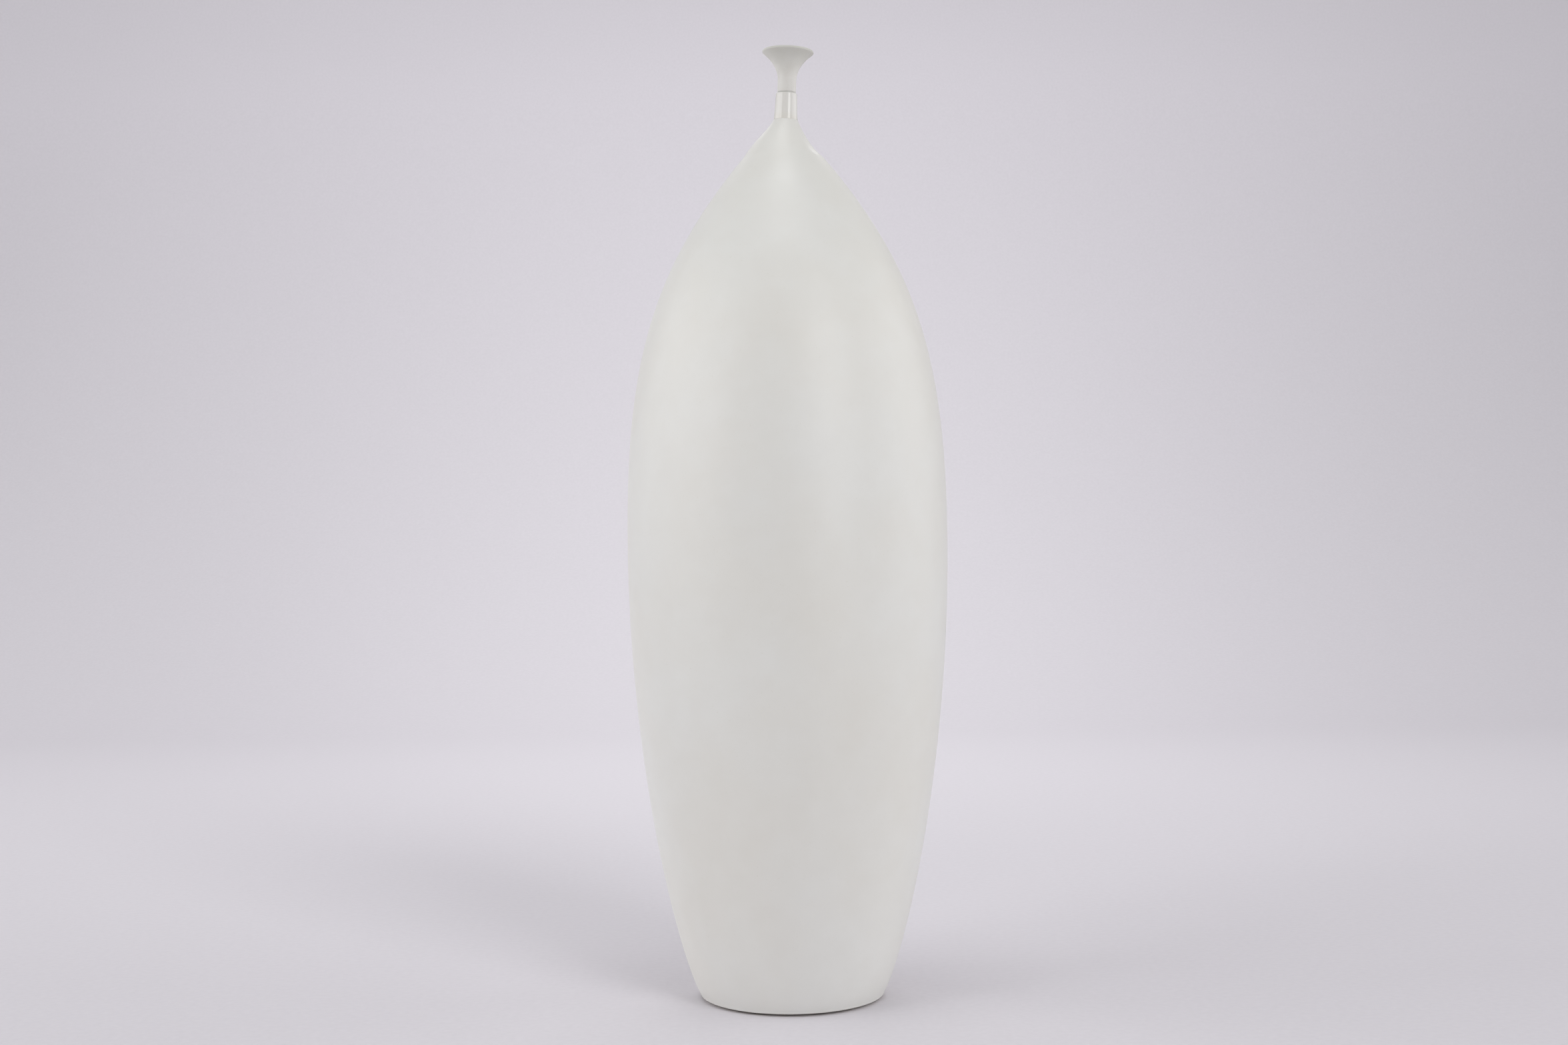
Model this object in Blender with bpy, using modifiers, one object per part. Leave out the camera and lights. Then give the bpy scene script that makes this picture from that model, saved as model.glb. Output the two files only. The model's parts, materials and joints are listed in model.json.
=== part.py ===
"""Tall white ceramic bud vase: a hollow body with a glazed neck collar let into its shoulder, and a small
trumpet mouthpiece that stands in the collar on a soft seal. A thin felt ring is glued under the foot.

Metres, +Z up. The origin is on the table, under the middle of the foot.
"""

import math

import bpy
from mathutils import Vector
from mathutils.geometry import interpolate_bezier

# The whole vase
HEIGHT = 0.457
GAP = 0.0003  # between neighbouring pieces

# Side of the vase from foot to seam: (radius, height) of each knot of one smooth curve
FOOT_KNOT = (0.0428, 0.0)
BELLY_KNOT = (0.0772, 0.220)
SHOULDER_KNOT = (0.0260, 0.3968)
LIP_KNOT = (0.0059, 0.4233)  # where the collar leaves the shoulder
SEAM_KNOT = (0.0051, 0.4365)
FOOT_SLANT = math.radians(51.6)  # from the vertical, outwards
SHOULDER_SLANT = math.radians(37.9)  # from the vertical, inwards
LIP_SLANT = math.radians(25.0)
SEAM_SLANT = math.radians(4.5)
FOOT_REACH = 0.0098  # handle lengths
BELLY_REACH_DOWN = 0.1195
BELLY_REACH_UP = 0.0826
SHOULDER_REACH_DOWN = 0.0638
SHOULDER_REACH_UP = 0.012
LIP_REACH_DOWN = 0.008
LIP_REACH_UP = 0.001
SEAM_REACH = 0.005

# Body
WALL = 0.0045
LIP_Z = LIP_KNOT[1]
BLANK_TOP_Z = LIP_Z + 0.003  # the lip is trimmed down from here
CAVITY_TOP_Z = 0.400
ROOF_Z = 0.404
PILOT_R = 0.003
FLOOR_Z = 0.009
FLOOR_FILLET = 0.010
FOOT_EDGE_R = 0.0012
FOOT_RING_INNER_R = 0.0325  # of the flat ring that stands on the felt
RECESS_Z = 0.0042
RECESS_SLOPE = 0.002

# Felt ring under the foot
FELT_R = (0.0335, 0.0412)
FELT_THICKNESS = 0.0008

# Neck: it stands a little off the body's axis and leans to +X
NECK_SHIFT = 0.0014
NECK_DRIFT_FROM_Z = 0.405
NECK_LEAN = math.radians(2.5)

# Collar
SOCKET_R = 0.005
SOCKET_DEPTH = 0.026
COLLAR_SPIGOT_LENGTH = 0.016
COLLAR_BORE_R = 0.0036
TRIM_R = 0.020
TRIM_HEIGHT = 0.008

# Seal
SEAL_THICKNESS = 0.0006
SEAL_R = (COLLAR_BORE_R, 0.0047)

# Mouthpiece
BORE_R = 0.0022
STEM_R = 0.0045
STEM_FLARE_Z = 0.4425
RIM_R = 0.01243
RIM_LIP = 0.0007  # half the lip's thickness, and its rounding
RIM_SLANT = math.radians(52.0)
FLARE_REACH_UP = 0.0052
FLARE_REACH_DOWN = 0.0062
THROAT_Z = 0.4462
SPIGOT_R = COLLAR_BORE_R - GAP
SPIGOT_LENGTH = 0.0155
SPIGOT_CHAMFER = 0.0005

BODY_STEPS = 56
NECK_STEPS = 40
FOOT_SPAN_POINTS = 11
BELLY_SPAN_POINTS = 12
SHOULDER_SPAN_POINTS = 10
COLLAR_SPAN_POINTS = 9
FLARE_POINTS = 9
ARC_POINTS = 5
MERGE = 0.00001

# Places along the neck's own axis, from the lip
SEAM_S = SEAM_KNOT[1] - LIP_Z
COLLAR_TOP_S = SEAM_S - SEAL_THICKNESS / 2 - GAP
SEAL_S = COLLAR_TOP_S + GAP
STEM_FOOT_S = SEAL_S + SEAL_THICKNESS + GAP
RIM_S = HEIGHT - LIP_Z
FOOT_Z = FELT_THICKNESS + GAP

GLAZE = ("satin_glaze", (0.78, 0.77, 0.74), 0.42)
COLLAR_GLAZE = ("gloss_glaze", (0.76, 0.75, 0.71), 0.08)
MATTE_GLAZE = ("matte_glaze", (0.76, 0.75, 0.72), 0.55)
SEAL_SILICONE = ("seal_silicone", (0.66, 0.66, 0.63), 0.45)
FELT = ("felt", (0.15, 0.145, 0.135), 0.95)


def clear_scene():
    for obj in list(bpy.data.objects):
        bpy.data.objects.remove(obj)


def new_collection(name, parent):
    collection = bpy.data.collections.new(name)
    parent.children.link(collection)
    return collection


def material_of(recipe):
    name, color, roughness = recipe
    material = bpy.data.materials.new(name)
    material.use_nodes = True
    shader = material.node_tree.nodes["Principled BSDF"]
    shader.inputs["Base Color"].default_value = (*color, 1.0)
    shader.inputs["Roughness"].default_value = roughness
    shader.inputs["Metallic"].default_value = 0.0
    return material


# Outlines are lists of (radius, height).


def bezier(start, start_handle, end_handle, end, count):
    knots = [Vector((radius, 0.0, height)) for radius, height in (start, start_handle, end_handle, end)]
    return [(point.x, point.z) for point in interpolate_bezier(*knots, count)]


def along(knot, slant, reach):
    """The handle that leaves a knot at an angle from the vertical; a negative reach goes down."""
    return (knot[0] + reach * math.sin(slant), knot[1] + reach * math.cos(slant))


def arc(center, radius, start, end, count=ARC_POINTS):
    """Points round a centre, from one angle to another, in degrees from the outward horizontal."""
    angles = [math.radians(start + (end - start) * i / (count - 1)) for i in range(count)]
    return [(center[0] + radius * math.cos(a), center[1] + radius * math.sin(a)) for a in angles]


def vase_side():
    """The outer side from the seam down to the foot."""
    collar = bezier(
        SEAM_KNOT,
        along(SEAM_KNOT, -SEAM_SLANT, -SEAM_REACH),
        along(LIP_KNOT, -LIP_SLANT, LIP_REACH_UP),
        LIP_KNOT,
        COLLAR_SPAN_POINTS,
    )
    shoulder = bezier(
        LIP_KNOT,
        along(LIP_KNOT, -LIP_SLANT, -LIP_REACH_DOWN),
        along(SHOULDER_KNOT, -SHOULDER_SLANT, SHOULDER_REACH_UP),
        SHOULDER_KNOT,
        SHOULDER_SPAN_POINTS,
    )
    upper = bezier(
        SHOULDER_KNOT,
        along(SHOULDER_KNOT, -SHOULDER_SLANT, -SHOULDER_REACH_DOWN),
        along(BELLY_KNOT, 0.0, BELLY_REACH_UP),
        BELLY_KNOT,
        BELLY_SPAN_POINTS,
    )
    lower = bezier(
        BELLY_KNOT,
        along(BELLY_KNOT, 0.0, -BELLY_REACH_DOWN),
        along(FOOT_KNOT, FOOT_SLANT, FOOT_REACH),
        FOOT_KNOT,
        FOOT_SPAN_POINTS,
    )
    return collar + shoulder[1:] + upper[1:] + lower[1:]


def radius_at(side, height):
    for (r_above, z_above), (r_below, z_below) in zip(side, side[1:]):
        if z_below <= height <= z_above:
            share = (z_above - height) / (z_above - z_below)
            return r_above + share * (r_below - r_above)
    raise ValueError("the side doesn't reach this height")


def stretch(side, top, bottom):
    """The part of a falling side between two heights, with a point at each."""
    between = [point for point in side if bottom < point[1] < top]
    return [(radius_at(side, top), top), *between, (radius_at(side, bottom), bottom)]


def inset(side, wall):
    """A falling side moved inwards by the wall, square to itself."""
    moved = []
    for i, (radius, height) in enumerate(side):
        before = side[max(i - 1, 0)]
        after = side[min(i + 1, len(side) - 1)]
        run, fall = after[0] - before[0], before[1] - after[1]
        length = math.hypot(run, fall)
        moved.append((radius - wall * fall / length, height - wall * run / length))
    return moved


def lowered(outline, by):
    return [(radius, height - by) for radius, height in outline]


def turned(name, outline, steps, collection, recipe=None, parent=None, loop=True):
    """A solid of revolution. The outline runs down its outer side; a loop closes back on its first point."""
    edges = [(i, i + 1) for i in range(len(outline) - 1)]
    if loop:
        edges.append((len(outline) - 1, 0))
    mesh = bpy.data.meshes.new(name)
    mesh.from_pydata([(radius, 0.0, height) for radius, height in outline], edges, [])
    obj = bpy.data.objects.new(name, mesh)
    collection.objects.link(obj)
    obj.parent = parent
    if recipe:
        mesh.materials.append(material_of(recipe))
    screw = obj.modifiers.new("turn", "SCREW")
    screw.steps = steps
    screw.render_steps = steps
    screw.use_merge_vertices = True
    screw.merge_threshold = MERGE
    screw.use_smooth_shade = True
    return obj


def body_outline(side):
    """From the middle of the inner floor, up the inside, over the lip, down the outside to the foot's middle."""
    inner_side = inset(side, WALL)
    corner_r = radius_at(inner_side, FLOOR_Z + FLOOR_FILLET)
    inner_wall = stretch(inner_side, CAVITY_TOP_Z, FLOOR_Z + FLOOR_FILLET)[::-1]
    inner_corner = arc((corner_r - FLOOR_FILLET, FLOOR_Z + FLOOR_FILLET), FLOOR_FILLET, -90.0, 0.0)
    outer_wall = stretch(side, BLANK_TOP_Z, FOOT_Z + FOOT_EDGE_R)
    edge_center = (outer_wall[-1][0] - FOOT_EDGE_R, FOOT_Z + FOOT_EDGE_R)
    foot_edge = arc(edge_center, FOOT_EDGE_R, 0.0, -90.0)
    return [
        (0.0, FLOOR_Z),
        *inner_corner[:-1],
        *inner_wall,
        (PILOT_R, ROOF_Z),
        (PILOT_R, BLANK_TOP_Z),
        *outer_wall[:-1],
        *foot_edge,
        (FOOT_RING_INNER_R, FOOT_Z),
        (FOOT_RING_INNER_R - RECESS_SLOPE, RECESS_Z),
        (0.0, RECESS_Z),
    ]


def drift_neck(mesh):
    """Leads the top of the shoulder sideways to the collar, which stands off the body's axis."""
    for vertex in mesh.vertices:
        share = (vertex.co.z - NECK_DRIFT_FROM_Z) / (LIP_Z - NECK_DRIFT_FROM_Z)
        share = min(max(share, 0.0), 1.0)
        vertex.co.x += NECK_SHIFT * share * share * (3.0 - 2.0 * share)


def make_body(side, collection, cutter):
    blank = turned("body_blank", body_outline(side), BODY_STEPS, collection, GLAZE, loop=False)
    graph = bpy.context.evaluated_depsgraph_get()
    mesh = bpy.data.meshes.new_from_object(blank.evaluated_get(graph))
    bpy.data.objects.remove(blank)
    drift_neck(mesh)
    body = bpy.data.objects.new("body_shell", mesh)
    collection.objects.link(body)
    cut = body.modifiers.new("collar_seat", "BOOLEAN")
    cut.operation = "DIFFERENCE"
    cut.object = cutter
    return body


def make_seat_cutter(collection, neck):
    """The socket for the collar, and the plane that trims the lip square to the neck."""
    outline = [
        (0.0, TRIM_HEIGHT),
        (TRIM_R, TRIM_HEIGHT),
        (TRIM_R, 0.0),
        (SOCKET_R, 0.0),
        (SOCKET_R, -SOCKET_DEPTH),
        (0.0, -SOCKET_DEPTH),
    ]
    cutter = turned("collar_seat_cutter", outline, NECK_STEPS, collection, parent=neck, loop=False)
    cutter.hide_render = True
    cutter.display_type = "WIRE"
    return cutter


def make_collar(side, collection, neck):
    outer = lowered(stretch(side, LIP_Z + COLLAR_TOP_S, LIP_Z + GAP), LIP_Z)
    spigot_r = SOCKET_R - GAP
    outline = [
        *outer,
        (spigot_r, GAP),
        (spigot_r, -COLLAR_SPIGOT_LENGTH),
        (COLLAR_BORE_R, -COLLAR_SPIGOT_LENGTH),
        (COLLAR_BORE_R, COLLAR_TOP_S),
    ]
    return turned("neck_collar", outline, NECK_STEPS, collection, COLLAR_GLAZE, neck)


def make_seal(collection, neck):
    inner_r, outer_r = SEAL_R
    half = SEAL_THICKNESS / 2
    bulge = arc((outer_r - half, SEAL_S + half), half, 90.0, -90.0)
    outline = [
        *bulge,
        (inner_r, SEAL_S),
        (inner_r, SEAL_S + SEAL_THICKNESS),
    ]
    return turned("seal_ring", outline, NECK_STEPS, collection, SEAL_SILICONE, neck)


def make_mouthpiece(collection, neck):
    lip_center = (RIM_R - RIM_LIP, RIM_S - RIM_LIP)
    lip_slant = math.degrees(RIM_SLANT)
    lip = arc(lip_center, RIM_LIP, 180.0 - lip_slant, -lip_slant)
    stem_top = (STEM_R, STEM_FLARE_Z - LIP_Z)
    throat = (BORE_R, THROAT_Z - LIP_Z)
    outer_flare = bezier(
        lip[-1],
        along(lip[-1], RIM_SLANT, -FLARE_REACH_DOWN),
        along(stem_top, 0.0, FLARE_REACH_UP),
        stem_top,
        FLARE_POINTS,
    )
    funnel = bezier(
        throat,
        along(throat, 0.0, FLARE_REACH_UP),
        along(lip[0], RIM_SLANT, -FLARE_REACH_DOWN),
        lip[0],
        FLARE_POINTS,
    )
    spigot_end = STEM_FOOT_S - SPIGOT_LENGTH
    outline = [
        *lip,
        *outer_flare[1:],
        (STEM_R, STEM_FOOT_S),
        (SPIGOT_R, STEM_FOOT_S),
        (SPIGOT_R, spigot_end + SPIGOT_CHAMFER),
        (SPIGOT_R - SPIGOT_CHAMFER, spigot_end),
        (BORE_R, spigot_end),
        *funnel[:-1],
    ]
    return turned("mouthpiece", outline, NECK_STEPS, collection, MATTE_GLAZE, neck)


def make_foot_felt(collection):
    inner_r, outer_r = FELT_R
    outline = [
        (outer_r, FELT_THICKNESS),
        (outer_r, 0.0),
        (inner_r, 0.0),
        (inner_r, FELT_THICKNESS),
    ]
    return turned("foot_felt", outline, BODY_STEPS, collection, FELT)


def main():
    clear_scene()
    scene_collection = bpy.context.scene.collection
    vase = new_collection("bud_vase", scene_collection)
    cutters = new_collection("cutters", scene_collection)
    neck = bpy.data.objects.new("neck_axis", None)
    neck.location = (NECK_SHIFT, 0.0, LIP_Z)
    neck.rotation_euler = (0.0, NECK_LEAN, 0.0)
    vase.objects.link(neck)
    side = vase_side()
    make_body(side, vase, make_seat_cutter(cutters, neck))
    make_collar(side, vase, neck)
    make_seal(vase, neck)
    make_mouthpiece(vase, neck)
    make_foot_felt(vase)


main()
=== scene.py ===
"""Finished look of the ceramic bud vase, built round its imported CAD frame, in a plain pale studio.

Metres, +Z up. The origin is on the table, under the middle of the foot; the vase is seen along +Y.
"""

import json
import math

import bmesh
import bpy
from mathutils import Matrix, Vector, noise
from mathutils.geometry import interpolate_bezier


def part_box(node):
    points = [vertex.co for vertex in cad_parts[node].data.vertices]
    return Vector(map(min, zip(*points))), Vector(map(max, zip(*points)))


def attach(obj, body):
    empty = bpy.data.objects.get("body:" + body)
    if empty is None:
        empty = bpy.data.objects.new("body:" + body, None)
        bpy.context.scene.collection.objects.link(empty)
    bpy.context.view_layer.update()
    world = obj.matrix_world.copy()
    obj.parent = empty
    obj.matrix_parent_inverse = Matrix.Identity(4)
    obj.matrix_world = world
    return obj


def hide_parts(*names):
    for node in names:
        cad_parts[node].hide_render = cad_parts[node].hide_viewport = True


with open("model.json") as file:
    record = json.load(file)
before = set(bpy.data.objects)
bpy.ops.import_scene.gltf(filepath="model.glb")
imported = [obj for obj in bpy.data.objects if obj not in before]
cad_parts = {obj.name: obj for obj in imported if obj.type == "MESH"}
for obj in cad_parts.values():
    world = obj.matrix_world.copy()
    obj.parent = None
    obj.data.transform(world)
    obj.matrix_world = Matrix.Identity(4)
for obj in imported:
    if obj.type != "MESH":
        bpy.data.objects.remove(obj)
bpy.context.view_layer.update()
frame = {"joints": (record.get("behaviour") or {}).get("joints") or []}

# Side of the vase from foot to seam: (radius, height) of each knot of one smooth curve
FOOT_KNOT = (0.0428, 0.0)
BELLY_KNOT = (0.0772, 0.220)
SHOULDER_KNOT = (0.0260, 0.3968)
LIP_KNOT = (0.0059, 0.4233)  # where the collar leaves the shoulder
SEAM_KNOT = (0.0051, 0.4365)
FOOT_SLANT = math.radians(51.6)  # from the vertical, outwards
SHOULDER_SLANT = math.radians(37.9)  # from the vertical, inwards
LIP_SLANT = math.radians(25.0)
SEAM_SLANT = math.radians(4.5)
FOOT_REACH = 0.0098  # lengths of the curve's handles, from here down
BELLY_REACH_DOWN = 0.1195
BELLY_REACH_UP = 0.0826
SHOULDER_REACH_DOWN = 0.0638
SHOULDER_REACH_UP = 0.012
LIP_REACH_DOWN = 0.008
LIP_REACH_UP = 0.001
SEAM_REACH = 0.005

# Body
WALL = 0.0045
CAVITY_TOP_Z = 0.400
ROOF_Z = 0.4033
FLOOR_Z = 0.009
FLOOR_FILLET = 0.010
FOOT_EDGE_R = 0.0012
FOOT_RING_INNER_R = 0.0325
RECESS_Z = 0.0042
RECESS_SLOPE = 0.002
NECK_DRIFT_FROM_Z = 0.405  # above this the shoulder leads sideways to the neck

# Neck: collar, seal and mouthpiece, on the axis of the mouthpiece's joints
SOCKET_R = 0.005
SPIGOT_GAP = 0.0003
COLLAR_SPIGOT_LENGTH = 0.016
COLLAR_BORE_R = 0.0036
COLLAR_EDGE_R = 0.0003
HAIRLINE = 0.00002  # between pieces that rest on each other
SEAL_THICKNESS = 0.0006
SEAL_OUTER_R = 0.0047
BORE_R = 0.0022
STEM_R = 0.0045
STEM_EDGE_R = 0.00025
STEM_FLARE_Z = 0.4425
RIM_Z = 0.457
RIM_R = 0.01243
RIM_LIP = 0.0007
RIM_SLANT = math.radians(52.0)
FLARE_REACH_UP = 0.0052
FLARE_REACH_DOWN = 0.0062
THROAT_Z = 0.4462
SPIGOT_LENGTH = 0.0155
SPIGOT_CHAMFER = 0.0005

# Felt ring
FELT_WIDTH = 0.0077
FELT_EDGE_R = 0.00025
FELT_FRAY = 0.00006  # how far the cut edge wanders
FELT_FRAY_SCALE = 900.0
FELT_ARC_POINTS = 4

# Smoothness
BODY_STEPS = 256
NECK_STEPS = 128
FELT_STEPS = 360
SPAN_POINTS = 44
FLARE_POINTS = 32
ARC_POINTS = 9
SHARP_ANGLE = math.radians(38.0)

# Studio
FLOOR_SIDE = 4.0
FLOOR_FRONT = -4.0
SWEEP_START = 1.15
SWEEP_RADIUS = 0.9
SWEEP_TOP = 3.6
SWEEP_POINTS = 40

PAPER_LOW = (0.775, 0.750, 0.795)
PAPER_HIGH = (0.80, 0.775, 0.82)
PAPER_ROUGHNESS = 0.9
# name, place, aim, width, height, brightness
SOFTBOXES = (
    ("key_right", (1.17, -1.86, 1.15), (0.0, 0.0, 0.3), 0.9, 1.9, 4.1),
    ("key_left", (-1.75, -1.32, 1.15), (0.0, 0.0, 0.3), 0.7, 1.7, 1.5),
    ("fill_right", (2.3, -0.7, 1.0), (0.0, 0.0, 0.3), 2.0, 1.8, 0.2),
    ("fill_left", (-2.3, -0.7, 1.0), (0.0, 0.0, 0.3), 2.0, 1.8, 1.2),
    ("side_right", (2.2, 0.2, 0.9), (0.0, 0.0, 0.3), 2.0, 1.6, 1.2),
    ("side_left", (-2.2, 0.2, 0.9), (0.0, 0.0, 0.3), 2.0, 1.6, 1.25),
    ("rim_right", (1.7, 1.0, 0.8), (0.0, 0.0, 0.25), 0.8, 1.4, 0.39),
    ("rim_left", (-1.7, 1.0, 0.8), (0.0, 0.0, 0.25), 0.8, 1.4, 0.67),
    ("top", (0.0, -0.3, 1.7), (0.0, -0.2, 0.0), 0.6, 0.6, 3.45),
    ("floor_behind", (0.0, 0.75, 0.9), (0.0, 0.85, 0.0), 0.7, 0.3, 3.1),
    ("backdrop_foot", (0.0, 1.1, 0.9), (0.0, 1.75, 0.12), 0.9, 0.2, 3.5),
)
ROOM_STRENGTH = 0.131  # light from every side, of a room with pale walls

# Colours of the pieces
WHITE = (1.0, 1.0, 1.0)
CLOUD_WARM = (0.800, 0.790, 0.745)
CLOUD_COOL = (0.812, 0.812, 0.780)
SATIN_MOTTLE = (0.985, 0.982, 0.978)
SATIN_SPECK = (0.95, 0.94, 0.92)
CLAY_DARK = (0.50, 0.43, 0.34)
CLAY_LIGHT = (0.66, 0.59, 0.49)
GLOSS_DARK = (0.765, 0.75, 0.705)
GLOSS_LIGHT = (0.795, 0.785, 0.75)
# tone of the collar's lowest few millimetres: warmer and a little darker
GLOSS_FOOT_TONE = (0.975, 0.965, 0.94)
MATTE_DARK = (0.735, 0.72, 0.68)
MATTE_LIGHT = (0.765, 0.755, 0.72)
MATTE_GRAIN = (0.965, 0.96, 0.95)
# painted shade: greys the trumpet's flare, whose underside is in shade
FLARE_PAINTED_SHADE = (0.835, 0.845, 0.825)
SILICONE_DARK = (0.62, 0.62, 0.59)
SILICONE_LIGHT = (0.70, 0.70, 0.67)
# dark felt, partly painted shade: the darkness also stands in for the shadow line under the foot
WOOL_DARK_AND_SHADE = (0.09, 0.087, 0.08)
WOOL_MIDDLE_AND_SHADE = (0.15, 0.145, 0.135)
WOOL_FLECK_AND_SHADE = (0.27, 0.26, 0.24)

# Where the glazes and tones change, and where painted shade starts, in each piece's own heights
CLAY_FULL_Z = 0.005  # the clay is bare below this, where the surface faces down
CLAY_END_Z = 0.0055
GLOSS_FOOT_TONE_TOP_Z = 0.004  # over the collar's foot
# painted shade on the mouthpiece's flare, growing from the first of these heights to the second
FLARE_SHADE_FROM_Z = 0.020  # over the collar's foot, on the mouthpiece
FLARE_SHADE_FULL_Z = 0.031
CLAY_ADDED_ROUGHNESS = 0.45

# Camera
CAMERA_PLACE = (-0.0016, -0.9524, 0.2286)
CAMERA_LENS = 45.15
CAMERA_SENSOR = 36.0
CAMERA_NEAR = 0.01
CAMERA_FAR = 50.0
CAMERA_ROLL = math.radians(0.64)


# Outlines are lists of (radius, height).


def bezier(start, start_handle, end_handle, end, count):
    knots = [Vector((radius, 0.0, height)) for radius, height in (start, start_handle, end_handle, end)]
    return [(point.x, point.z) for point in interpolate_bezier(*knots, count)]


def along(knot, slant, reach):
    """The handle that leaves a knot at an angle from the vertical; a negative reach goes down."""
    return (knot[0] + reach * math.sin(slant), knot[1] + reach * math.cos(slant))


def arc(center, radius, start, end, count=ARC_POINTS):
    """Points round a centre, from one angle to another, in degrees from the outward horizontal."""
    angles = [math.radians(start + (end - start) * i / (count - 1)) for i in range(count)]
    return [(center[0] + radius * math.cos(a), center[1] + radius * math.sin(a)) for a in angles]


def vase_side():
    """The outer side from the seam down to the foot."""
    collar = bezier(
        SEAM_KNOT,
        along(SEAM_KNOT, -SEAM_SLANT, -SEAM_REACH),
        along(LIP_KNOT, -LIP_SLANT, LIP_REACH_UP),
        LIP_KNOT,
        SPAN_POINTS,
    )
    shoulder = bezier(
        LIP_KNOT,
        along(LIP_KNOT, -LIP_SLANT, -LIP_REACH_DOWN),
        along(SHOULDER_KNOT, -SHOULDER_SLANT, SHOULDER_REACH_UP),
        SHOULDER_KNOT,
        SPAN_POINTS,
    )
    upper = bezier(
        SHOULDER_KNOT,
        along(SHOULDER_KNOT, -SHOULDER_SLANT, -SHOULDER_REACH_DOWN),
        along(BELLY_KNOT, 0.0, BELLY_REACH_UP),
        BELLY_KNOT,
        SPAN_POINTS,
    )
    lower = bezier(
        BELLY_KNOT,
        along(BELLY_KNOT, 0.0, -BELLY_REACH_DOWN),
        along(FOOT_KNOT, FOOT_SLANT, FOOT_REACH),
        FOOT_KNOT,
        SPAN_POINTS,
    )
    return collar + shoulder[1:] + upper[1:] + lower[1:]


def radius_at(side, height):
    for (r_above, z_above), (r_below, z_below) in zip(side, side[1:]):
        if z_below <= height <= z_above:
            share = (z_above - height) / (z_above - z_below)
            return r_above + share * (r_below - r_above)
    raise ValueError("the side doesn't reach this height")


def stretch(side, top, bottom):
    """The part of a falling side between two heights, with a point at each."""
    between = [point for point in side if bottom < point[1] < top]
    return [(radius_at(side, top), top), *between, (radius_at(side, bottom), bottom)]


def inset(side, wall):
    """A falling side moved inwards by the wall, square to itself."""
    moved = []
    for i, (radius, height) in enumerate(side):
        before = side[max(i - 1, 0)]
        after = side[min(i + 1, len(side) - 1)]
        run, fall = after[0] - before[0], before[1] - after[1]
        length = math.hypot(run, fall)
        moved.append((radius - wall * fall / length, height - wall * run / length))
    return moved


def lowered(outline, by):
    return [(radius, height - by) for radius, height in outline]


# Solids of revolution


def add_ring(mesh, radius, height, steps):
    if radius == 0.0:
        return [mesh.verts.new((0.0, 0.0, height))]
    turns = [math.tau * i / steps for i in range(steps)]
    return [mesh.verts.new((radius * math.cos(t), radius * math.sin(t), height)) for t in turns]


def join_rings(mesh, ring, other):
    count = max(len(ring), len(other))
    for i in range(count):
        here = ring[i % len(ring)]
        there = other[i % len(other)]
        here_next = ring[(i + 1) % len(ring)]
        there_next = other[(i + 1) % len(other)]
        corners = list(dict.fromkeys((here, here_next, there_next, there)))
        mesh.faces.new(corners)


def lathe(name, outline, steps, loop=True):
    """A smooth solid of revolution round its own Z. A loop closes back on its first point."""
    mesh = bmesh.new()
    rings = [add_ring(mesh, radius, height, steps) for radius, height in outline]
    pairs = list(zip(rings, rings[1:]))
    if loop:
        pairs.append((rings[-1], rings[0]))
    for ring, other in pairs:
        join_rings(mesh, ring, other)
    bmesh.ops.recalc_face_normals(mesh, faces=mesh.faces)
    data = bpy.data.meshes.new(name)
    mesh.to_mesh(data)
    mesh.free()
    obj = bpy.data.objects.new(name, data)
    bpy.context.scene.collection.objects.link(obj)
    return obj


def finish_piece(obj, material, body, node):
    obj.data.shade_smooth()
    obj.data.set_sharp_from_angle(angle=SHARP_ANGLE)
    obj.data.materials.append(material)
    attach(obj, body)
    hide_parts(node)


# Pieces


def neck_place():
    """Where the neck's own axis starts, and its lean, from the joint that turns the mouthpiece."""
    joint = frame["joints"][0]
    axis = Vector(joint["axis"])
    turn = Matrix.Rotation(math.atan2(axis.x, axis.z), 4, "Y")
    return Matrix.Translation(Vector(joint["pos_m"])) @ turn


def body_outline(side, lip_z, foot_z):
    """From the middle of the inner floor, up the inside, over the lip and down to the foot's middle."""
    inner_side = inset(side, WALL)
    corner_r = radius_at(inner_side, FLOOR_Z + FLOOR_FILLET)
    inner_corner = arc((corner_r - FLOOR_FILLET, FLOOR_Z + FLOOR_FILLET), FLOOR_FILLET, -90.0, 0.0)
    inner_wall = stretch(inner_side, CAVITY_TOP_Z, FLOOR_Z + FLOOR_FILLET)[::-1]
    outer_wall = stretch(side, lip_z, foot_z + FOOT_EDGE_R)
    edge_center = (outer_wall[-1][0] - FOOT_EDGE_R, foot_z + FOOT_EDGE_R)
    foot_edge = arc(edge_center, FOOT_EDGE_R, 0.0, -90.0)
    return [
        (0.0, FLOOR_Z),
        *inner_corner[:-1],
        *inner_wall,
        (SOCKET_R, ROOF_Z),
        (SOCKET_R, lip_z),
        *outer_wall[:-1],
        *foot_edge,
        (FOOT_RING_INNER_R, foot_z),
        (FOOT_RING_INNER_R - RECESS_SLOPE, RECESS_Z),
        (0.0, RECESS_Z),
    ]


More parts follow.
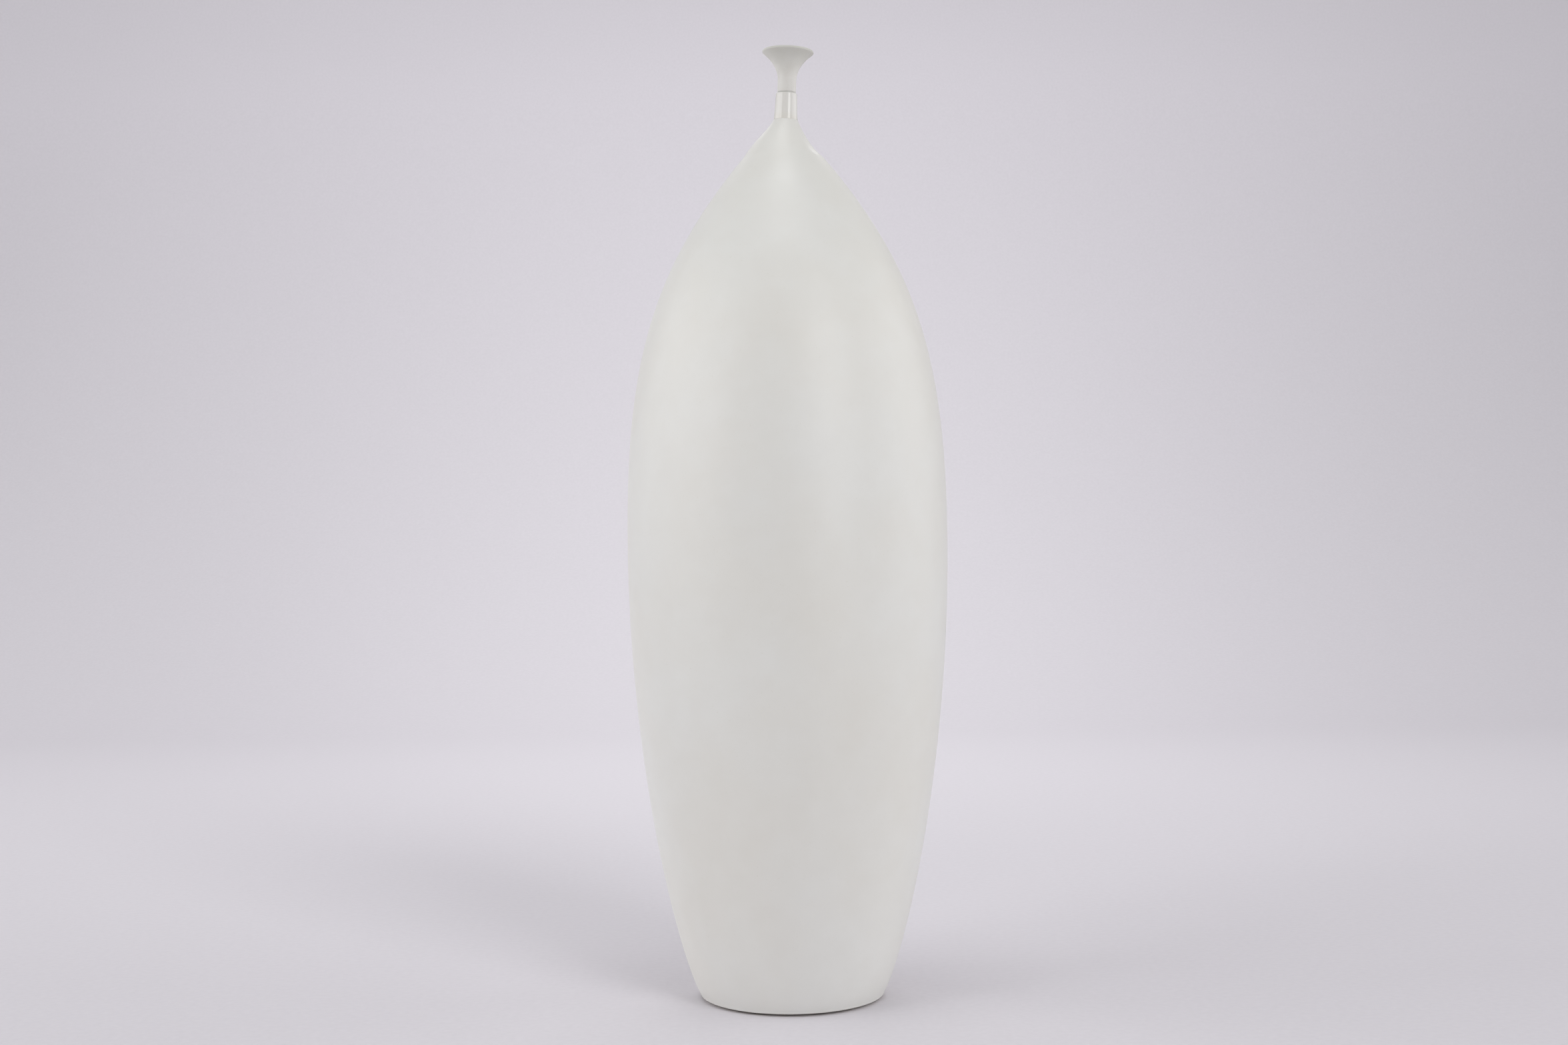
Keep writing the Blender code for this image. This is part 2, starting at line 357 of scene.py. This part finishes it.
def lead_neck(obj, neck):
    """Leads the top of the shoulder sideways, on a smooth line from the body's axis into the neck's.

    The wall of the collar's socket goes straight onto the neck's own axis.
    """
    lip = neck.translation
    axis = neck.to_3x3() @ Vector((0.0, 0.0, 1.0))
    rise = lip.z - NECK_DRIFT_FROM_Z
    end_slope = rise * axis.x / axis.z
    for vertex in obj.data.vertices:
        co = vertex.co
        if co.z > CAVITY_TOP_Z and math.hypot(co.x, co.y) < SOCKET_R + SPIGOT_GAP:
            vertex.co = neck @ (co - Vector((0.0, 0.0, lip.z)))
        elif co.z > NECK_DRIFT_FROM_Z:
            t = (co.z - NECK_DRIFT_FROM_Z) / rise
            drift = lip.x * t * t * (3.0 - 2.0 * t) + end_slope * t * t * (t - 1.0)
            slope = (lip.x * 6.0 * t * (1.0 - t) + end_slope * t * (3.0 * t - 2.0)) / rise
            turn = Matrix.Rotation(math.atan(slope), 3, "Y")
            vertex.co = Vector((drift, 0.0, co.z)) + turn @ Vector((co.x, co.y, 0.0))


def make_shell(side, neck):
    foot_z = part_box("body_shell")[0].z
    outline = body_outline(side, neck.translation.z, foot_z)
    shell = lathe("vase_shell", outline, BODY_STEPS, loop=False)
    lead_neck(shell, neck)
    finish_piece(shell, satin_glaze(), "vase_base", "body_shell")


def make_collar(side, neck):
    lip_z = neck.translation.z
    top = SEAM_KNOT[1] - SEAL_THICKNESS / 2 - HAIRLINE - lip_z
    outer = lowered(stretch(side, lip_z + top - COLLAR_EDGE_R, lip_z + HAIRLINE), lip_z)
    edge = arc((outer[0][0] - COLLAR_EDGE_R, top - COLLAR_EDGE_R), COLLAR_EDGE_R, 90.0, 0.0)
    spigot_r = SOCKET_R - SPIGOT_GAP
    outline = [
        *edge[:-1],
        *outer,
        (spigot_r, HAIRLINE),
        (spigot_r, -COLLAR_SPIGOT_LENGTH),
        (COLLAR_BORE_R, -COLLAR_SPIGOT_LENGTH),
        (COLLAR_BORE_R, top),
    ]
    collar = lathe("glazed_collar", outline, NECK_STEPS)
    collar.matrix_world = neck
    finish_piece(collar, gloss_glaze(), "vase_base", "neck_collar")


def make_seal(neck):
    half = SEAL_THICKNESS / 2
    middle = SEAM_KNOT[1] - neck.translation.z
    outline = [
        *arc((SEAL_OUTER_R - half, middle), half, 90.0, -90.0),
        (COLLAR_BORE_R, middle - half),
        (COLLAR_BORE_R, middle + half),
    ]
    seal = lathe("silicone_seal", outline, NECK_STEPS)
    seal.matrix_world = neck
    finish_piece(seal, silicone(), "seat", "seal_ring")


def mouthpiece_outline(lip_z):
    lip_center = (RIM_R - RIM_LIP, RIM_Z - RIM_LIP - lip_z)
    slant = math.degrees(RIM_SLANT)
    lip = arc(lip_center, RIM_LIP, 180.0 - slant, -slant, 2 * ARC_POINTS)
    stem_top = (STEM_R, STEM_FLARE_Z - lip_z)
    throat = (BORE_R, THROAT_Z - lip_z)
    outer_flare = bezier(
        lip[-1],
        along(lip[-1], RIM_SLANT, -FLARE_REACH_DOWN),
        along(stem_top, 0.0, FLARE_REACH_UP),
        stem_top,
        FLARE_POINTS,
    )
    funnel = bezier(
        throat,
        along(throat, 0.0, FLARE_REACH_UP),
        along(lip[0], RIM_SLANT, -FLARE_REACH_DOWN),
        lip[0],
        FLARE_POINTS,
    )
    foot = SEAM_KNOT[1] + SEAL_THICKNESS / 2 + HAIRLINE - lip_z
    foot_edge = arc((STEM_R - STEM_EDGE_R, foot + STEM_EDGE_R), STEM_EDGE_R, 0.0, -90.0)
    spigot_r = COLLAR_BORE_R - SPIGOT_GAP
    spigot_end = foot - SPIGOT_LENGTH
    return [
        *lip,
        *outer_flare[1:],
        *foot_edge,
        (spigot_r, foot),
        (spigot_r, spigot_end + SPIGOT_CHAMFER),
        (spigot_r - SPIGOT_CHAMFER, spigot_end),
        (BORE_R, spigot_end),
        *funnel[:-1],
    ]


def make_mouthpiece(neck):
    outline = mouthpiece_outline(neck.translation.z)
    mouthpiece = lathe("trumpet_mouthpiece", outline, NECK_STEPS)
    mouthpiece.matrix_world = neck
    finish_piece(mouthpiece, matte_glaze(), "mouth", "mouthpiece")


def make_felt():
    """The pressed ring, with slightly crushed edges that wander as cut felt does."""
    low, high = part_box("foot_felt")
    outer_r = high.x
    inner_r = outer_r - FELT_WIDTH
    corners = (
        (outer_r - FELT_EDGE_R, high.z - FELT_EDGE_R, 90.0),
        (outer_r - FELT_EDGE_R, low.z + FELT_EDGE_R, 0.0),
        (inner_r + FELT_EDGE_R, low.z + FELT_EDGE_R, -90.0),
        (inner_r + FELT_EDGE_R, high.z - FELT_EDGE_R, 180.0),
    )
    outline = []
    for radius, height, start in corners:
        outline += arc((radius, height), FELT_EDGE_R, start, start - 90.0, FELT_ARC_POINTS)
    felt = lathe("felt_ring", outline, FELT_STEPS)
    for vertex in felt.data.vertices:
        flat = Vector((vertex.co.x, vertex.co.y, 0.0))
        wander = noise.noise(vertex.co * FELT_FRAY_SCALE) * FELT_FRAY
        vertex.co += flat.normalized() * (wander - FELT_FRAY)
    finish_piece(felt, felt_cloth_and_shade(), "vase_base", "foot_felt")


# Materials. Every texture is laid out in the piece's own metres.


def new_material(name, ior=1.5):
    material = bpy.data.materials.new(name)
    material.use_nodes = True
    shader = material.node_tree.nodes["Principled BSDF"]
    shader.inputs["IOR"].default_value = ior
    coords = material.node_tree.nodes.new("ShaderNodeTexCoord")
    return material, shader, coords


def cloud(tree, coords, scale, detail, squash=None):
    """Noise, from 0 to 1. The scale is in features per metre; squash scales the axes first."""
    source = coords.outputs["Object"]
    if squash:
        mapping = tree.nodes.new("ShaderNodeMapping")
        mapping.inputs["Scale"].default_value = squash
        tree.links.new(source, mapping.inputs["Vector"])
        source = mapping.outputs["Vector"]
    node = tree.nodes.new("ShaderNodeTexNoise")
    node.inputs["Scale"].default_value = scale
    node.inputs["Detail"].default_value = detail
    tree.links.new(source, node.inputs["Vector"])
    return node.outputs["Fac"]


def spread(tree, value, low, high, start=0.3, end=0.7):
    """Maps the useful part of a value onto a range."""
    node = tree.nodes.new("ShaderNodeMapRange")
    node.inputs["From Min"].default_value = start
    node.inputs["From Max"].default_value = end
    node.inputs["To Min"].default_value = low
    node.inputs["To Max"].default_value = high
    tree.links.new(value, node.inputs["Value"])
    return node.outputs["Result"]


def tint(tree, value, stops):
    """Colours along a value, from (position, colour) stops."""
    node = tree.nodes.new("ShaderNodeValToRGB")
    ramp = node.color_ramp
    while len(ramp.elements) < len(stops):
        ramp.elements.new(0.5)
    for element, (position, color) in zip(ramp.elements, stops):
        element.position = position
        element.color = (*color, 1.0)
    tree.links.new(value, node.inputs["Fac"])
    return node.outputs["Color"]


def patches(tree, coords, scale, detail, stops):
    """Colours that follow noise."""
    return tint(tree, cloud(tree, coords, scale, detail), stops)


def color_mix(tree, mode, first, second):
    node = tree.nodes.new("ShaderNodeMix")
    node.data_type = "RGBA"
    node.blend_type = mode
    tree.links.new(first, node.inputs[6])
    tree.links.new(second, node.inputs[7])
    return node


def tinted(tree, first, second):
    """One colour multiplied by another."""
    node = color_mix(tree, "MULTIPLY", first, second)
    node.inputs[0].default_value = 1.0
    return node.outputs[2]


def masked(tree, mask, first, second):
    """The second colour where the mask is 1, and the first where it is 0."""
    node = color_mix(tree, "MIX", first, second)
    tree.links.new(mask, node.inputs[0])
    return node.outputs[2]


def calculated(tree, operation, first, second):
    node = tree.nodes.new("ShaderNodeMath")
    node.operation = operation
    tree.links.new(first, node.inputs[0])
    tree.links.new(second, node.inputs[1])
    return node.outputs[0]


def relief(tree, height, depth, under=None):
    """Bump of a real depth in metres, laid over another one."""
    node = tree.nodes.new("ShaderNodeBump")
    node.inputs["Distance"].default_value = depth
    tree.links.new(height, node.inputs["Height"])
    if under:
        tree.links.new(under, node.inputs["Normal"])
    return node.outputs["Normal"]


def upward_part(tree, coords, kind):
    """The Z of the piece's own coordinates, for kind Object, or of its surface's direction, for Normal."""
    node = tree.nodes.new("ShaderNodeSeparateXYZ")
    tree.links.new(coords.outputs[kind], node.inputs["Vector"])
    return node.outputs["Z"]


def satin_glaze():
    """Satin white glaze with faint warm clouds and a hand-sanded ripple; bare clay under the foot."""
    material, shader, coords = new_material("satin_glaze")
    tree = material.node_tree
    clouds = patches(tree, coords, 13.0, 3.0, [(0.36, CLOUD_WARM), (0.62, CLOUD_COOL)])
    mottle = patches(tree, coords, 85.0, 3.0, [(0.3, SATIN_MOTTLE), (0.7, WHITE)])
    specks = patches(tree, coords, 1400.0, 1.0, [(0.72, WHITE), (0.78, SATIN_SPECK)])
    glaze = tinted(tree, tinted(tree, clouds, mottle), specks)
    clay = patches(tree, coords, 700.0, 4.0, [(0.35, CLAY_DARK), (0.65, CLAY_LIGHT)])
    down = spread(tree, upward_part(tree, coords, "Normal"), low=0.0, high=1.0, start=-0.8, end=-0.95)
    foot = spread(
        tree, upward_part(tree, coords, "Object"), low=1.0, high=0.0, start=CLAY_FULL_Z, end=CLAY_END_Z
    )
    bare = calculated(tree, "MULTIPLY", down, foot)
    tree.links.new(masked(tree, bare, glaze, clay), shader.inputs["Base Color"])
    satin = spread(tree, cloud(tree, coords, scale=34.0, detail=3.0), low=0.38, high=0.47)
    dull = spread(tree, bare, low=0.0, high=CLAY_ADDED_ROUGHNESS, start=0.0, end=1.0)
    tree.links.new(calculated(tree, "ADD", satin, dull), shader.inputs["Roughness"])
    ripple = relief(tree, cloud(tree, coords, scale=55.0, detail=1.0), depth=0.00012)
    peel = relief(tree, cloud(tree, coords, scale=420.0, detail=2.0), depth=0.000018, under=ripple)
    tree.links.new(peel, shader.inputs["Normal"])
    return material


def gloss_glaze():
    """Clear glaze over white clay: glossy, with slow runs down the neck, warmer and a little darker
    towards its foot.
    """
    material, shader, coords = new_material("gloss_glaze")
    tree = material.node_tree
    runs = cloud(tree, coords, scale=260.0, detail=2.0, squash=(1.0, 1.0, 0.12))
    body = tint(tree, runs, [(0.3, GLOSS_DARK), (0.7, GLOSS_LIGHT)])
    height = upward_part(tree, coords, "Object")
    foot_tone_share = spread(tree, height, low=0.0, high=1.0, start=0.0, end=GLOSS_FOOT_TONE_TOP_Z)
    foot_tone = tint(tree, foot_tone_share, [(0.0, GLOSS_FOOT_TONE), (1.0, WHITE)])
    tree.links.new(tinted(tree, body, foot_tone), shader.inputs["Base Color"])
    sheen = spread(tree, cloud(tree, coords, scale=500.0, detail=2.0), low=0.06, high=0.11)
    tree.links.new(sheen, shader.inputs["Roughness"])
    tree.links.new(relief(tree, runs, depth=0.00002), shader.inputs["Normal"])
    return material


def matte_glaze():
    """Matte white glaze with a fine dry grain; painted shade greys the trumpet's flare towards the rim."""
    material, shader, coords = new_material("matte_glaze")
    tree = material.node_tree
    clouds = patches(tree, coords, 120.0, 2.0, [(0.35, MATTE_DARK), (0.65, MATTE_LIGHT)])
    grain = cloud(tree, coords, scale=2600.0, detail=2.0)
    grain_tone = tint(tree, grain, [(0.3, MATTE_GRAIN), (0.6, WHITE)])
    height = upward_part(tree, coords, "Object")
    # painted shade, greying the flare towards the rim
    flare_shade_share = spread(tree, height, low=0.0, high=1.0, start=FLARE_SHADE_FROM_Z, end=FLARE_SHADE_FULL_Z)
    flare_shade = tint(tree, flare_shade_share, [(0.0, WHITE), (1.0, FLARE_PAINTED_SHADE)])
    tree.links.new(tinted(tree, tinted(tree, clouds, grain_tone), flare_shade), shader.inputs["Base Color"])
    dryness = spread(tree, cloud(tree, coords, scale=300.0, detail=2.0), low=0.52, high=0.68)
    tree.links.new(dryness, shader.inputs["Roughness"])
    tree.links.new(relief(tree, grain, depth=0.00001), shader.inputs["Normal"])
    return material


def silicone():
    """Pale grey silicone with a faint bloom."""
    material, shader, coords = new_material("silicone", ior=1.42)
    tree = material.node_tree
    bloom = cloud(tree, coords, scale=800.0, detail=3.0)
    tone = tint(tree, bloom, [(0.35, SILICONE_DARK), (0.65, SILICONE_LIGHT)])
    tree.links.new(tone, shader.inputs["Base Color"])
    tree.links.new(spread(tree, bloom, low=0.38, high=0.55), shader.inputs["Roughness"])
    tree.links.new(relief(tree, bloom, depth=0.000008), shader.inputs["Normal"])
    return material


def felt_cloth_and_shade():
    """Pressed grey felt with tangled fibres, lighter flecks and a soft sheen; its darkness is partly
    painted shade, standing in for the shadow line under the foot.
    """
    material, shader, coords = new_material("felt", ior=1.45)
    shader.inputs["Sheen Weight"].default_value = 0.3
    shader.inputs["Sheen Roughness"].default_value = 0.6
    tree = material.node_tree
    fibres = cloud(tree, coords, scale=1600.0, detail=6.0, squash=(1.0, 1.0, 2.5))
    # the felt's dark tones, partly painted shade for the shadow line under the foot
    felt_tone_and_shade = tint(tree, fibres, [(0.3, WOOL_DARK_AND_SHADE), (0.55, WOOL_MIDDLE_AND_SHADE), (0.75, WOOL_FLECK_AND_SHADE)])
    tree.links.new(felt_tone_and_shade, shader.inputs["Base Color"])
    tree.links.new(spread(tree, fibres, low=0.88, high=1.0), shader.inputs["Roughness"])
    tree.links.new(relief(tree, fibres, depth=0.0002), shader.inputs["Normal"])
    return material


# Studio


def paper():
    """Pale lavender-grey paper with a faint tooth."""
    material, shader, coords = new_material("studio_paper")
    shader.inputs["Roughness"].default_value = PAPER_ROUGHNESS
    tree = material.node_tree
    tooth = patches(tree, coords, 300.0, 3.0, [(0.3, PAPER_LOW), (0.7, PAPER_HIGH)])
    tree.links.new(tooth, shader.inputs["Base Color"])
    return material


def make_sweep():
    """A sheet of paper that runs from in front of the vase to behind it and curves up."""
    profile = [(FLOOR_FRONT, 0.0)]
    for i in range(SWEEP_POINTS):
        turn = math.pi / 2 * i / (SWEEP_POINTS - 1)
        y = SWEEP_START + SWEEP_RADIUS * math.sin(turn)
        profile.append((y, SWEEP_RADIUS * (1.0 - math.cos(turn))))
    profile.append((SWEEP_START + SWEEP_RADIUS, SWEEP_TOP))
    mesh = bmesh.new()
    lines = [[mesh.verts.new((x, y, z)) for x in (-FLOOR_SIDE, FLOOR_SIDE)] for y, z in profile]
    for (left, right), (next_left, next_right) in zip(lines, lines[1:]):
        mesh.faces.new((left, right, next_right, next_left))
    data = bpy.data.meshes.new("studio_sweep")
    mesh.to_mesh(data)
    mesh.free()
    data.shade_smooth()
    data.materials.append(paper())
    sweep = bpy.data.objects.new("studio_sweep", data)
    bpy.context.scene.collection.objects.link(sweep)


def add_softbox(name, place, target, width, height, glow):
    """A rectangular area light whose surface is glow times as bright as white paper."""
    light = bpy.data.lights.new(name, "AREA")
    light.shape = "RECTANGLE"
    light.size = width
    light.size_y = height
    light.energy = glow * math.pi * width * height
    obj = bpy.data.objects.new(name, light)
    obj.location = place
    aim = Vector(target) - Vector(place)
    obj.rotation_euler = aim.to_track_quat("-Z", "Y").to_euler()
    bpy.context.scene.collection.objects.link(obj)


def light_studio():
    for box in SOFTBOXES:
        add_softbox(*box)
    world = bpy.data.worlds.new("studio_room")
    world.use_nodes = True
    background = world.node_tree.nodes["Background"]
    background.inputs["Color"].default_value = (*WHITE, 1.0)
    background.inputs["Strength"].default_value = ROOM_STRENGTH
    bpy.context.scene.world = world


def make_camera():
    camera = bpy.data.cameras.new("camera")
    camera.lens = CAMERA_LENS
    camera.sensor_width = CAMERA_SENSOR
    camera.clip_start = CAMERA_NEAR
    camera.clip_end = CAMERA_FAR
    obj = bpy.data.objects.new("camera", camera)
    obj.location = CAMERA_PLACE
    obj.rotation_euler = (math.pi / 2, CAMERA_ROLL, 0.0)
    bpy.context.scene.collection.objects.link(obj)
    bpy.context.scene.camera = obj


def main():
    side = vase_side()
    neck = neck_place()
    make_shell(side, neck)
    make_collar(side, neck)
    make_seal(neck)
    make_mouthpiece(neck)
    make_felt()
    make_sweep()
    light_studio()
    make_camera()
    bpy.context.scene.view_settings.view_transform = "Standard"


main()
